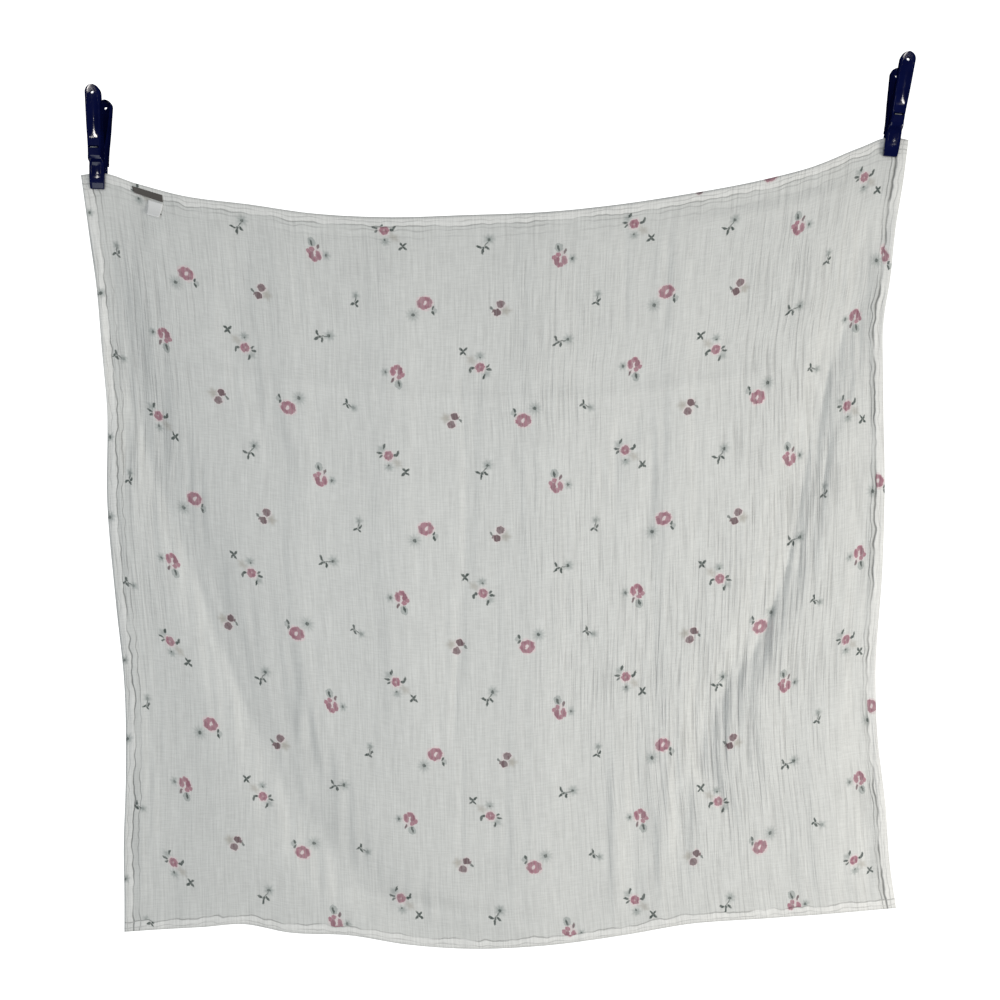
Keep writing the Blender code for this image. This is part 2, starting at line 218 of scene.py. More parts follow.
# Where the jaws hold the cloth: the springs' middles and how far each peg is turned, in degrees.
pegPlan = [
    {"side": "left", "x": -0.566, "z": -0.023, "lean": 0.5, "turn": 4},
    {"side": "right", "x": 0.566, "z": 0.023, "lean": 8, "turn": -7},
]
# The jaws' middle lies this far below the spring; they flatten the cloth out to the reach.
gripPlan = {"below": 35 * mm, "reach": 120 * mm, "fade": 75 * mm}


# x and z at each share of the way along a smooth curve through points given in millimetres
def smoothCurve(points, shares):
    points = np.array(points, float) * mm
    steps = np.linalg.norm(np.diff(points, axis=0), axis=1)
    at = np.concatenate([[0.0], np.cumsum(steps)])
    slopes = np.gradient(points, at, axis=0)
    want = np.clip(shares, 0.0, 1.0) * at[-1]
    left = np.clip(np.searchsorted(at, want, side="right") - 1, 0, len(at) - 2)
    span = (at[left + 1] - at[left])[:, None]
    t = (want - at[left])[:, None] / span
    return (
        (2 * t**3 - 3 * t**2 + 1) * points[left]
        + (t**3 - 2 * t**2 + t) * span * slopes[left]
        + (3 * t**2 - 2 * t**3) * points[left + 1]
        + (t**3 - t**2) * span * slopes[left + 1]
    )


# x and z of the cloth at shares across and down, spread between its four edges
def hungPlane(across, down):
    top = smoothCurve(blanketPlan["topEdge"], across)
    bottom = smoothCurve(blanketPlan["bottomEdge"], across)
    left = smoothCurve(blanketPlan["leftEdge"], down)
    right = smoothCurve(blanketPlan["rightEdge"], down)
    s, t = across[:, None], down[:, None]
    ends = [blanketPlan[edge][i] for edge in ("topEdge", "bottomEdge") for i in (0, -1)]
    corners = np.array(ends, float) * mm
    return (
        (1 - t) * top + t * bottom + (1 - s) * left + s * right
        - (1 - s) * (1 - t) * corners[0] - s * (1 - t) * corners[1]
        - (1 - s) * t * corners[2] - s * t * corners[3]
    )


# how far one fold moves the cloth forward at each x and z
def foldHeight(x, z, fold, fade, aside=0):
    points, halfWidth, height = fold
    path = smoothCurve(points[::-1], np.linspace(0, 1, 60))
    middle = np.interp(z, path[:, 1], path[:, 0])
    slope = np.interp(z, path[:, 1], np.gradient(path[:, 0], path[:, 1]))
    beside = (x + aside - middle) / np.sqrt(1 + slope**2)
    low, high = path[0, 1], path[-1, 1]
    ends = np.clip((z - low) / fade + 0.5, 0, 1) * np.clip((high - z) / fade + 0.5, 0, 1)
    return height * mm * ends * np.exp(-((beside / (halfWidth * mm)) ** 2))


# the same for a crease that runs across
def acrossHeight(x, z, crease, fade):
    points, halfWidth, height = crease
    path = smoothCurve(points, np.linspace(0, 1, 60))
    middle = np.interp(x, path[:, 0], path[:, 1])
    low, high = path[0, 0], path[-1, 0]
    ends = np.clip((x - low) / fade + 0.5, 0, 1) * np.clip((high - x) / fade + 0.5, 0, 1)
    return height * mm * ends * np.exp(-(((z - middle) / (halfWidth * mm)) ** 2))


# how firmly each peg holds the cloth at each x and z, and how far back its plane lies there
def gripped(x, z):
    hold = np.zeros_like(x)
    back = np.zeros_like(x)
    for peg in pegPlan:
        away = np.hypot(x - peg["x"], z - (peg["z"] - gripPlan["below"]))
        near = np.clip((gripPlan["reach"] - away) / gripPlan["fade"], 0, 1)
        near = near * near * (3 - 2 * near)
        hold = np.maximum(hold, near)
        back = np.where(near > 0, (x - peg["x"]) * math.tan(math.radians(peg["turn"])), back)
    return hold, back


# smooth seeded noise of the given cell sizes over the flat cloth, from about -1 to 1
def clothNoise(across, down, cellAcross, cellDown, name):
    u = across * blanketPlan["width"] / cellAcross
    v = down * blanketPlan["height"] / cellDown
    return np.array([noise.noise(Vector((a, b, noiseSeeds[name]))) for a, b in zip(u, v)])


# the fine crinkle of the gauze and the small waves of the hem
def crinkle(across, down, share):
    plan = blanketPlan
    pleats = clothNoise(across, down, plan["pleatWidth"], plan["pleatLength"], "pleats")
    times, broadShare = plan["broadPleats"]
    broadWidth = plan["pleatWidth"] * times
    pleats += broadShare * clothNoise(across, down, broadWidth, plan["pleatLength"], "broadPleats")
    strength = 1 + plan["patchShare"] * clothNoise(across, down, *plan["patchSize"], "patches")
    fromSide = np.minimum(across, 1 - across) * plan["width"]
    fromEnd = np.minimum(down, 1 - down) * plan["height"]
    sideHem = np.clip(1 - fromSide / (2 * plan["hemWidth"]), 0, 1)
    endHem = np.clip(1 - fromEnd / (2 * plan["hemWidth"]), 0, 1)
    sideWaves = clothNoise(across, down, plan["puckerWidth"], plan["puckerLength"], "sideWaves")
    endWaves = clothNoise(across, down, plan["puckerLength"], plan["puckerWidth"], "endWaves")
    hemWaves = 2 * plan["puckerDepth"] * (sideHem * sideWaves + endHem * endWaves)
    return plan["pleatDepth"] * strength * pleats * share + hemWaves


# the middle surface of the cloth at shares across and down
def clothPoints(across, down):
    plan = blanketPlan
    plane = hungPlane(across, down)
    x, z = plane[:, 0], plane[:, 1]
    billow = np.sin(math.pi * across) * np.sin(math.pi * np.clip(down, 0, 1) ** plan["billowRise"])
    forward = plan["billow"] * billow + plan["topLean"] * np.sin(math.pi * across) * (1 - down)
    ragged = clothNoise(across, down, plan["raggedWidth"], plan["raggedLength"], "ragged")
    for fold in foldPlan:
        forward = forward + foldHeight(x, z, fold, plan["foldFade"], plan["raggedBy"] * ragged)
    for crease in creasePlan:
        forward = forward + foldHeight(x, z, crease, plan["creaseFade"])
    for crease in acrossPlan:
        forward = forward + acrossHeight(x, z, crease, plan["acrossFade"])
    forward = forward + crinkle(across, down, crinkleShare(x, z))
    hold, back = gripped(x, z)
    depth = -forward * (1 - hold) + back * hold
    shrink = 1 + depth / plan["drawInLength"]
    x = plan["middle"][0] + (x - plan["middle"][0]) * shrink
    z = plan["middle"][1] + (z - plan["middle"][1]) * shrink
    return np.stack([x, depth, z], axis=1)


# The print, drawn flat in metres from the blanket's upper left corner. Its repeat leans a
# little, as the cloth was cut a little off the grain.
printPlan = {
    "repeat": (338.5 * mm, 322 * mm),
    "firstPoppy": (130 * mm, -110.6 * mm),
    "stretch": 1152.6 * mm,  # the printed width that the hung width shows
    "rightPull": 16 * mm,
    "lean": 0.038,
    # Where the hung cloth is pulled out of true: x, z, half width and half height of the place,
    # then how far the print is read to the right and up, all in millimetres.
    "pulls": [
        (510, -600, 60, 180, -6, 18), (510, -900, 60, 160, -8, 18),  # beyond the right swag
        (560, -250, 40, 220, 0, 14),
        (400, -450, 110, 150, -6, 7), (380, -720, 120, 150, -10, 10),  # along it
        (-520, -560, 90, 400, -1, 4),
        (-150, -1080, 320, 150, 3, -16),  # above the bottom hem
        (-400, -200, 200, 150, -5, 1), (150, -250, 320, 150, 5, -1),
        (0, -600, 300, 250, 6, -2)],
}


# where each point of the cloth lies on the print
def printPoints(across, down):
    plan = printPlan
    plane = hungPlane(across, down)
    top = smoothCurve(blanketPlan["topEdge"], across)
    u = across * plan["stretch"] - plan["rightPull"] * np.sin(math.pi * across**2)
    v = plane[:, 1] - top[:, 1]
    v = v + plan["lean"] * (u - plan["firstPoppy"][0])
    for x, z, halfWidth, halfHeight, right, up in plan["pulls"]:
        beside = (plane[:, 0] / mm - x) / halfWidth
        above = (plane[:, 1] / mm - z) / halfHeight
        near = np.exp(-(beside**2) - above**2)
        u = u + right * mm * near
        v = v + up * mm * near
    return np.stack([u, v], axis=1)


def sheetGrid(columns, rows):
    grid = bmesh.new()
    bmesh.ops.create_grid(grid, x_segments=columns, y_segments=rows, size=0.5)
    flat = np.array([v.co for v in grid.verts])
    return grid, flat[:, 0] + 0.5, 0.5 - flat[:, 1]


def gridMesh(name, grid, points):
    for vertex, point in zip(grid.verts, points):
        vertex.co = point
    grid.normal_update()
    if sum(face.normal.y for face in grid.faces) > 0:  # the printed side faces the front
        bmesh.ops.reverse_faces(grid, faces=grid.faces)
    mesh = bpy.data.meshes.new(name)
    grid.to_mesh(mesh)
    grid.free()
    return mesh


def addUvMap(mesh, name, perVertex):
    corners = np.zeros(len(mesh.loops), int)
    mesh.loops.foreach_get("vertex_index", corners)
    layer = mesh.uv_layers.new(name=name)
    layer.data.foreach_set("uv", perVertex[corners].astype(np.float32).ravel())


def addObject(name, mesh, *materials):
    made = bpy.data.objects.new(name, mesh)
    bpy.context.scene.collection.objects.link(made)
    for material in materials:
        mesh.materials.append(material)
    return made


# the modifiers' result as the object's own mesh
def applyModifiers(piece):
    graph = bpy.context.evaluated_depsgraph_get()
    mesh = bpy.data.meshes.new_from_object(piece.evaluated_get(graph))
    piece.modifiers.clear()
    old = piece.data
    piece.data = mesh
    bpy.data.meshes.remove(old)


# The map's free margin, the rim's share of it, and what counts as the sheet's very edge.
sideMapPlan = {"margin": 0.006, "rim": 0.6, "edge": 0.0001}


# gives a solidified sheet a map with its front and its back side by side
def addSideMap(mesh, sheetVertices, across, down):
    counts = np.zeros(len(mesh.polygons), int)
    mesh.polygons.foreach_get("loop_total", counts)
    sides = np.zeros(len(mesh.polygons), int)
    mesh.polygons.foreach_get("material_index", sides)
    side = np.repeat(sides, counts)  # 0 front, 1 back, 2 rim
    corners = np.zeros(len(mesh.loops), int)
    mesh.loops.foreach_get("vertex_index", corners)
    s = across[corners % sheetVertices]
    t = down[corners % sheetVertices]
    margin, edge = sideMapPlan["margin"], sideMapPlan["edge"]
    out = np.where((side == 2) & (corners >= sheetVertices), margin * sideMapPlan["rim"], 0)
    outAcross = out * (np.where(s > 1 - edge, 1, 0) - np.where(s < edge, 1, 0))
    outUp = out * (np.where(t < edge, 1, 0) - np.where(t > 1 - edge, 1, 0))
    u = margin + (0.5 - 2 * margin) * s + outAcross + np.where(side == 1, 0.5, 0)
    v = margin + (1 - 2 * margin) * (1 - t) + outUp
    layer = mesh.uv_layers.new(name="OFBake")
    layer.data.foreach_set("uv", np.stack([u, v], axis=1).astype(np.float32).ravel())
    backShare = mesh.attributes.new("backSide", "FLOAT", "FACE")
    backShare.data.foreach_set("value", (sides == 1).astype(np.float32))
    mesh.polygons.foreach_set("material_index", np.zeros(len(sides), int))


# Ink colours of the print, as they look on the cloth.
inkColors = {
    "blush": "#eee0e1",
    "rose": "#ba8a97",
    "deepRose": "#a27280",
    "mauve": "#907a7f",
    "plum": "#755c62",
    "moss": "#56605d",
    "ash": "#a3aba9",
    "sand": "#c2beb6",
}

# The motifs: each has two places in the repeat (millimetres right of and below the first
# poppy, and a turn in degrees), then its marks. A mark is kind, x, y, half width and half
# height in millimetres, a turn, its ink and how full the ink is. A bloom has wavy edges and a
# daisy is a ring of fine petals; both name their petals.
motifPlan = {
    "poppy": {
        "places": [(0, 0, 0), (140, 167.5, 180)],
        "marks": [
            ("daisy", -17, -17, 10, 10, 0, "ash", 0.7, 11),
            ("dab", -16.5, -17, 2.8, 2.8, 0, "moss", 0.85),
            ("bloom", 0, 0, 13.8, 12.2, 0, "blush", 0.9, 5),
            ("bloom", 0, 0, 11.6, 9.8, 10, "rose", 1, 7),
            ("dab", -6.5, -2.5, 2.6, 5.4, 20, "deepRose", 0.7),
            ("dab", 4.6, 5, 4.8, 2, -30, "deepRose", 0.7),
            ("dab", 3, -5.6, 5.0, 1.8, 12, "deepRose", 0.65),
            ("dab", 8.4, 2.6, 1.6, 3.8, -10, "deepRose", 0.6),
            ("dab", 0.8, 0.2, 2.4, 3.8, -28, "blush", 1),
            ("dab", 14.2, -11.4, 4.6, 3.4, 70, "ash", 0.55),
            ("dab", 11.4, -7.2, 1.8, 3.4, -28, "moss", 0.95),
            ("dab", 11.8, -14.0, 1.9, 4.0, 24, "moss", 1),
        ],
    },
    "buds": {
        "places": [(104, 7, 0), (39.5, 168.5, 180)],
        "marks": [
            ("daisy", 9.4, -4, 8.6, 8.2, 0, "sand", 0.9, 5),
            ("bloom", 2.4, 5, 8.2, 7.4, 0, "blush", 0.6, 4),
            ("bloom", -2.6, -6.6, 7.4, 7.2, 0, "blush", 0.6, 4),
            ("bloom", 2.4, 5.2, 6.4, 5.8, 20, "mauve", 0.95, 3),
            ("bloom", -2.6, -6.6, 5.4, 5.8, 60, "plum", 0.95, 4),
            ("dab", 0.6, 7, 2.4, 1.8, -20, "plum", 0.5),
            ("dab", 4.4, 3.4, 1.8, 3.2, 40, "plum", 0.4),
            ("dab", -10.6, -0.6, 1.8, 3.6, 38, "moss", 0.8),
            ("dab", -8.2, -4.4, 1.4, 3.2, -30, "plum", 0.8),
        ],
    },
    "rose": {
        "places": [(299, 100.5, 0), (186, 260.5, 180)],
        "marks": [
            ("daisy", -16.6, 1, 6.4, 7.0, 0, "ash", 0.8, 6),
            ("dab", -16, 1, 2.0, 2.4, 0, "moss", 0.75),
            ("bloom", 0.6, 1, 12, 12.6, 0, "blush", 0.7, 4),
            ("dab", 0.4, 8.4, 5.0, 4.0, 0, "rose", 1),
            ("dab", -5.4, 2.4, 4.0, 7.2, 10, "rose", 1),
            ("dab", 5.4, 3.0, 3.4, 6.6, 14, "deepRose", 1),
            ("dab", 8.6, -2.4, 3.4, 3.4, 0, "rose", 1),
            ("dab", 3.4, -5.8, 3.8, 3.4, -20, "rose", 1),
            ("dab", -6.0, 3.6, 1.8, 4.8, 8, "deepRose", 0.75),
            ("dab", 1.6, 8.8, 3.2, 1.8, -20, "deepRose", 0.7),
            ("dab", 0.2, 1.0, 1.2, 5.4, -8, "blush", 0.6),
            ("dab", 2.6, 0.4, 1.5, 4.4, 12, "deepRose", 0.95),
            ("dab", -5.6, -10.2, 2.0, 4.4, -20, "plum", 0.9),
            ("dab", 3.2, -16, 5.8, 7.0, 14, "ash", 0.65),
            ("dab", 3.6, -14.6, 1.9, 5.0, 16, "moss", 0.95),
        ],
    },
    "posy": {
        "places": [(284, 219, 0), (79, 92, 180)],
        "marks": [
            ("daisy", 1, -16.4, 7.6, 6.4, 0, "ash", 0.8, 7),
            ("daisy", -10, 9.4, 7.2, 6.4, 0, "ash", 0.65, 5),
            ("daisy", 12.6, -10, 10.0, 6.4, -38, "sand", 0.7, 5),
            ("dab", 0.4, -14.2, 1.7, 1.6, 0, "moss", 0.8),
            ("bloom", 0, 0, 9.6, 9.4, 0, "blush", 0.75, 6),
            ("bloom", 0, 0, 7.0, 7.0, 12, "rose", 1, 6),
            ("dab", -2.4, 2.6, 2.8, 1.6, 40, "deepRose", 0.8),
            ("dab", 2.8, -1.6, 1.6, 3.2, 10, "deepRose", 0.8),
            ("dab", -2.6, -3.4, 2.6, 1.6, -30, "deepRose", 0.7),
            ("dab", -0.2, -0.4, 1.5, 1.4, 0, "blush", 0.4),
            ("dab", -12.8, 3.0, 4.6, 1.9, -10, "moss", 0.95),
            ("dab", -10.8, -1.8, 3.6, 1.7, 38, "moss", 0.9),
            ("dab", 10.4, 0.8, 3.4, 2.2, 8, "moss", 1),
            ("dab", 13.4, 4.0, 2.1, 4.4, -12, "moss", 0.95),
            ("dab", -6.2, 13.2, 1.9, 4.4, -20, "moss", 1),
            ("dab", 23.4, -20.4, 1.7, 4.6, 38, "moss", 1),
            ("dab", 26.8, -20.4, 1.7, 4.2, -44, "moss", 1),
            ("dab", 22.0, -25.4, 2.0, 4.4, -48, "moss", 1),
            ("dab", 27.4, -25.0, 1.9, 4.2, 52, "moss", 1),
        ],
    },
    "sprig": {
        "places": [(80, 240, 0), (190, 55, -45)],
        "marks": [
            ("daisy", 8, 9, 8.4, 8.4, 0, "ash", 0.8, 7),
            ("dab", 7.6, 8.2, 2.5, 2.4, 0, "moss", 0.85),
            ("dab", 4.0, 2.4, 1.0, 6.4, -40, "moss", 0.7),
            ("dab", -5.8, -2.2, 4.8, 2.0, -22, "moss", 1),
            ("dab", 5.4, -3.6, 4.4, 2.0, -42, "moss", 1),
            ("dab", -0.8, -8.0, 1.9, 5.0, -8, "moss", 1),
            ("dab", 0.4, -3.2, 1.9, 2.4, 0, "moss", 0.95),
        ],
    },
    "sprout": {
        "places": [(240, 0, 0), (230, 150, -110)],
        "marks": [
            ("daisy", 1.6, 7.4, 6.2, 6.8, 0, "ash", 0.75, 5),
            ("dab", 1.6, 6.4, 2.4, 3.0, 0, "moss", 0.3),
            ("dab", 1, 1.2, 1.0, 4.8, -14, "moss", 0.75),
            ("dab", -3.2, -5.2, 4.2, 1.8, 30, "moss", 1),
            ("dab", 3.4, -1.8, 1.8, 3.8, -34, "moss", 1),
            ("dab", 1.8, -6.8, 3.6, 1.6, -40, "moss", 0.95),
        ],
    },
}


# How far a mark's petals wave in and how soft its edge is, as shares of its size; the edge of
# a bloom or a dab is given in millimetres, up to the softest share.
markPlan = {"bloomWave": 0.12, "daisyWave": 0.45, "daisySoft": 0.9, "edge": 0.8, "softest": 0.4}


# the print's own coordinates, measured from the nearer of a motif's two places
def motifSpace(tree, inkUv, places):
    width, height = printPlan["repeat"]
    firstU, firstV = printPlan["firstPoppy"]
    spaces = []
    for right, below, turn in places:
        place = (firstU + right * mm, firstV - below * mm, 0)
        away = addNode(tree, "ShaderNodeVectorMath", {1: place}, {0: inkUv}, operation="SUBTRACT")
        half = (width / 2, height / 2, 1)
        repeated = addNode(
            tree, "ShaderNodeVectorMath", {1: half, 2: tuple(-h for h in half)},
            {0: away.outputs[0]}, operation="WRAP")
        turned = addNode(
            tree, "ShaderNodeVectorRotate", {"Angle": -math.radians(turn)},
            {"Vector": repeated.outputs[0]}, rotation_type="Z_AXIS")
        size = addNode(tree, "ShaderNodeVectorMath", None, {0: repeated.outputs[0]}, operation="LENGTH")
        spaces.append((turned.outputs[0], size.outputs["Value"]))
    (first, firstSize), (second, secondSize) = spaces
    nearer = combined(tree, "LESS_THAN", secondSize, firstSize)
    chosen = addNode(
        tree, "ShaderNodeMix", None, {0: nearer, 4: first, 5: second}, data_type="VECTOR")
    return chosen.outputs[1]


# how much ink one mark lays at each place, from 0 to its fullness
def markInk(tree, space, mark):
    kind, x, y, halfWidth, halfHeight, turn, _, full = mark[:8]
    c, s = math.cos(math.radians(turn)), math.sin(math.radians(turn))
    right = Vector((c / halfWidth, -s / halfHeight, 0)) / mm
    up = Vector((s / halfWidth, c / halfHeight, 0)) / mm
    start = -(x * right + y * up) * mm
    local = addNode(
        tree, "ShaderNodeVectorMath", {1: right, 2: start}, {0: space[0]}, operation="MULTIPLY_ADD")
    local = addNode(
        tree, "ShaderNodeVectorMath", {1: up}, {0: space[1], 2: local.outputs[0]},
        operation="MULTIPLY_ADD")
    reach = addNode(tree, "ShaderNodeVectorMath", None, {0: local.outputs[0]}, operation="LENGTH")
    reach = reach.outputs["Value"]
    if kind != "dab":
        petals = mark[8]
        parts = addNode(tree, "ShaderNodeSeparateXYZ", None, {0: local.outputs[0]})
        angle = combined(tree, "ARCTAN2", parts.outputs[1], parts.outputs[0])
        wave = combined(tree, "MULTIPLY", angle, petals / 2)
        wave = combined(tree, "ABSOLUTE", combined(tree, "COSINE", wave, 0), 0)
        reach = combined(tree, "MULTIPLY", reach, scaled(tree, wave, 0, 1, 1 + markPlan[kind + "Wave"], 1))
    soft = min(markPlan["edge"] / min(halfWidth, halfHeight), markPlan["softest"])
    if kind == "daisy":
        soft = markPlan["daisySoft"]
    ink = addNode(
        tree, "ShaderNodeMapRange",
        {"From Min": 1 + soft * 0.5, "From Max": 1 - soft, "To Max": full},
        {"Value": reach}, interpolation_type="SMOOTHSTEP")
    return ink.outputs[0]


# lays the whole print over a ground colour; grain thins the ink along the threads
def printOver(tree, ground, inkUv, grain):
    color = ground
    for motif in motifPlan.values():
        space = motifSpace(tree, inkUv, motif["places"])
        space = addNode(tree, "ShaderNodeSeparateXYZ", None, {0: space}).outputs
        for inkName, marks in groupby(motif["marks"], key=lambda mark: mark[6]):
            inks = [markInk(tree, space, mark) for mark in marks]  # marks of one ink are laid together
            ink = reduce(lambda first, second: combined(tree, "MAXIMUM", first, second), inks)
            laid = addNode(
                tree, "ShaderNodeMix", {7: toLinear(inkColors[inkName])},
                {0: ink, 6: color}, data_type="RGBA")
            color = laid.outputs[2]
    worn = addNode(tree, "ShaderNodeMix", None, {0: grain, 6: ground, 7: color}, data_type="RGBA")
    return worn.outputs[2]


# Noise drawn out along the threads of the flat cloth, cell sizes in metres.
def threadNoise(tree, flatUv, cellAcross, cellDown, detail=2.0, roughness=0.5):
    stretched = addNode(
        tree, "ShaderNodeVectorMath", {1: (1 / cellAcross, 1 / cellDown, 1)}, {0: flatUv},
        operation="MULTIPLY")
    made = addNode(
        tree, "ShaderNodeTexNoise", {"Scale": 1.0, "Detail": detail, "Roughness": roughness},
        {"Vector": stretched.outputs[0]}, noise_dimensions="2D")
    return made.outputs[0]


def scaled(tree, socket, low, high, toLow, toHigh):
    made = addNode(
        tree, "ShaderNodeMapRange",
        {"From Min": low, "From Max": high, "To Min": toLow, "To Max": toHigh}, {"Value": socket})
    return made.outputs[0]


def combined(tree, operation, first, second):
    links = {i: s for i, s in enumerate((first, second)) if not isinstance(s, (int, float))}
    values = {i: float(s) for i, s in enumerate((first, second)) if isinstance(s, (int, float))}
    return addNode(tree, "ShaderNodeMath", values, links, operation=operation).outputs[0]


gauzePlan = {
    "ground": "#e6e7e5",
    "hemGround": "#f8f8f6",
    "backGround": "#e9ebe8",
    "streakWidth": 2.4 * mm,  # gauze yarns lie 0.7 mm apart; drawn coarser so that they show
    "streakLength": 50 * mm,
    "weftWidth": 2.0 * mm,
    "weftLength": 22 * mm,
    "crinkleWidth": 4.0 * mm,
    "crinkleLength": 110 * mm,
    "crinkleDepth": 1.3 * mm,
    "streakTone": (0.93, 1.06),
    "weftTone": (0.965, 1.03),
    "crinkleShadeTone": (-0.2, 0.03),  # added where the cloth is gathered: painted shade in the crinkles' hollows, with some tone of the gathered layers
    # how dark the painted shadow along the hem's seams makes the cloth
    "seamShadeTone": 0.36,
    "inkGrain": 0.78,  # the least ink that the yarns' hollows take
    "inkWobble": 2.6 * mm,
    "backFade": 0.82,  # how much fainter the print is on the back
}


# The painted shadow lines along the hem's seams and folds on each side: distance from the edge and half
# width in millimetres, and how dark. They wander and break up as the cloth puckers.
hemPlan = {
    "jump": 0.016,  # how far the print jumps at the seam, as a share of its way from the middle
    "wander": 2.2 * mm,
    "wanderLength": 26 * mm,
    "breakLength": 60 * mm,
    "faintest": 0.3,  # a line's strength where it breaks up
    "bandFade": 1.5 * mm,
    "lineCore": 0.2 * mm,
    "left": [(14, 1.4, 0.85), (23, 1.2, 0.5), (5, 1.1, 0.3)],
    "right": [(14, 2.2, 1.0), (19.5, 1.3, 0.6), (7, 1.2, 0.3)],
    "top": [(14, 1.4, 0.5), (20, 1.6, 0.3), (7, 1.4, 0.3), (31, 2.0, 0.15)],
    "bottom": [(13, 1.3, 0.6), (5, 1.2, 0.35)],
}


# Double gauze cotton muslin, reactive printed and washed: matt, softly crinkled upright, its
# open weave seen as fine broken lines, paler where the hem is three layers thick.
# Painted shade darkens the crinkles' hollows, and painted shadow lines mark the hem's seams.
def makeGauze():
    plan = gauzePlan
    material, tree = newMaterial("cottonMuslinGauze")
    inkMap = addNode(tree, "ShaderNodeUVMap", uv_map="printMap").outputs[0]
    flatMap = addNode(tree, "ShaderNodeUVMap", uv_map="flatMap").outputs[0]
    streaks = threadNoise(tree, flatMap, plan["streakWidth"], plan["streakLength"], 2, 0.6)
    wefts = threadNoise(tree, flatMap, plan["weftLength"], plan["weftWidth"], 1, 0.6)
    crinkles = threadNoise(tree, flatMap, plan["crinkleWidth"], plan["crinkleLength"], 2, 0.5)

    # the ink follows the wobble of the yarns and breaks up along them
    wobble = addNode(
        tree, "ShaderNodeTexNoise", {"Scale": 260.0, "Detail": 1.0}, {"Vector": inkMap},
        noise_dimensions="2D").outputs[1]
    shift = addNode(
        tree, "ShaderNodeVectorMath", {1: (0.5, 0.5, 0.5)}, {0: wobble}, operation="SUBTRACT")
    shift = addNode(
        tree, "ShaderNodeVectorMath", {1: (plan["inkWobble"], plan["inkWobble"], 0)}, {0: shift.outputs[0]},
        operation="MULTIPLY")
    inkUv = addNode(
        tree, "ShaderNodeVectorMath", None, {0: inkMap, 1: shift.outputs[0]}, operation="ADD").outputs[0]
    grain = scaled(tree, streaks, 0.3, 0.6, plan["inkGrain"], 1.0)

    # the seam takes up some cloth, so the print jumps there
    hem = hemMask(tree, flatMap)
    sheetMiddle = (blanketPlan["width"] / 2, -blanketPlan["height"] / 2, 0)
    fromMiddle = addNode(
        tree, "ShaderNodeVectorMath", {1: sheetMiddle}, {0: inkUv}, operation="SUBTRACT").outputs[0]
    jump = addNode(
        tree, "ShaderNodeVectorMath", None,
        {0: fromMiddle, "Scale": scaled(tree, hem["band"], 0, 1, 0, hemPlan["jump"])},
        operation="SCALE").outputs[0]
    inkUv = addNode(
        tree, "ShaderNodeVectorMath", None, {0: inkUv, 1: jump}, operation="ADD").outputs[0]

    back = addNode(tree, "ShaderNodeAttribute", attribute_name="backSide").outputs["Fac"]
    ground = addNode(
        tree, "ShaderNodeMix", {6: toLinear(plan["ground"]), 7: toLinear(plan["hemGround"])},
        {0: hem["band"]}, data_type="RGBA").outputs[2]
    printed = printOver(tree, ground, inkUv, grain)
    faded = scaled(tree, back, 0, 1, 0, plan["backFade"])
    color = addNode(
        tree, "ShaderNodeMix", {7: toLinear(plan["backGround"])}, {0: faded, 6: printed},
        data_type="RGBA").outputs[2]

    # tone of the weave, with painted shade in the crinkles' hollows and painted shadow along the hem's
    # seams
    share = addNode(tree, "ShaderNodeAttribute", attribute_name="crinkleShare").outputs["Fac"]
    # painted shade: the crinkles' hollows darkened where the bump's crinkle noise is low, with some tone of
    # the gathered gauze layers
    crinkleShade = combined(
        tree, "MULTIPLY", scaled(tree, crinkles, 0.3, 0.5, *plan["crinkleShadeTone"]), share)
    tone = combined(tree, "MULTIPLY", scaled(tree, streaks, 0.3, 0.7, *plan["streakTone"]),
                    scaled(tree, wefts, 0.3, 0.7, *plan["weftTone"]))
    tone = combined(tree, "MULTIPLY", tone, combined(tree, "ADD", crinkleShade, 1.0))
    # painted shadow along the hem's seams and folds
    tone = combined(tree, "MULTIPLY", tone, scaled(tree, hem["line"], 0, 1, 1, plan["seamShadeTone"]))
    toned = addNode(
        tree, "ShaderNodeVectorMath", None, {0: color, "Scale": tone}, operation="SCALE").outputs[0]

    # relief of the weave: crinkles, yarns and the drawn-in seam
    ridges = combined(tree, "ABSOLUTE", combined(tree, "SUBTRACT", crinkles, 0.5), 0)
    height = combined(tree, "SUBTRACT", combined(tree, "MULTIPLY", crinkles, 1.6), ridges)
    height = combined(tree, "ADD", height, combined(tree, "MULTIPLY", streaks, 0.8))
    height = combined(tree, "MULTIPLY", height, share)
    height = combined(tree, "ADD", height, combined(tree, "MULTIPLY", wefts, 0.2))
    height = combined(tree, "SUBTRACT", height, combined(tree, "MULTIPLY", hem["line"], 0.6))
    bump = addNode(
        tree, "ShaderNodeBump", {"Strength": 1.0, "Distance": plan["crinkleDepth"]},
        {"Height": height})
    shader = addNode(
        tree, "ShaderNodeBsdfPrincipled",
        {"Roughness": 0.95, "Specular IOR Level": 0.15, "Sheen Weight": 0.12, "Sheen Roughness": 0.5},
        {"Base Color": toned, "Normal": bump.outputs[0]})
    addNode(tree, "ShaderNodeOutputMaterial", None, {0: shader.outputs[0]})
    return material
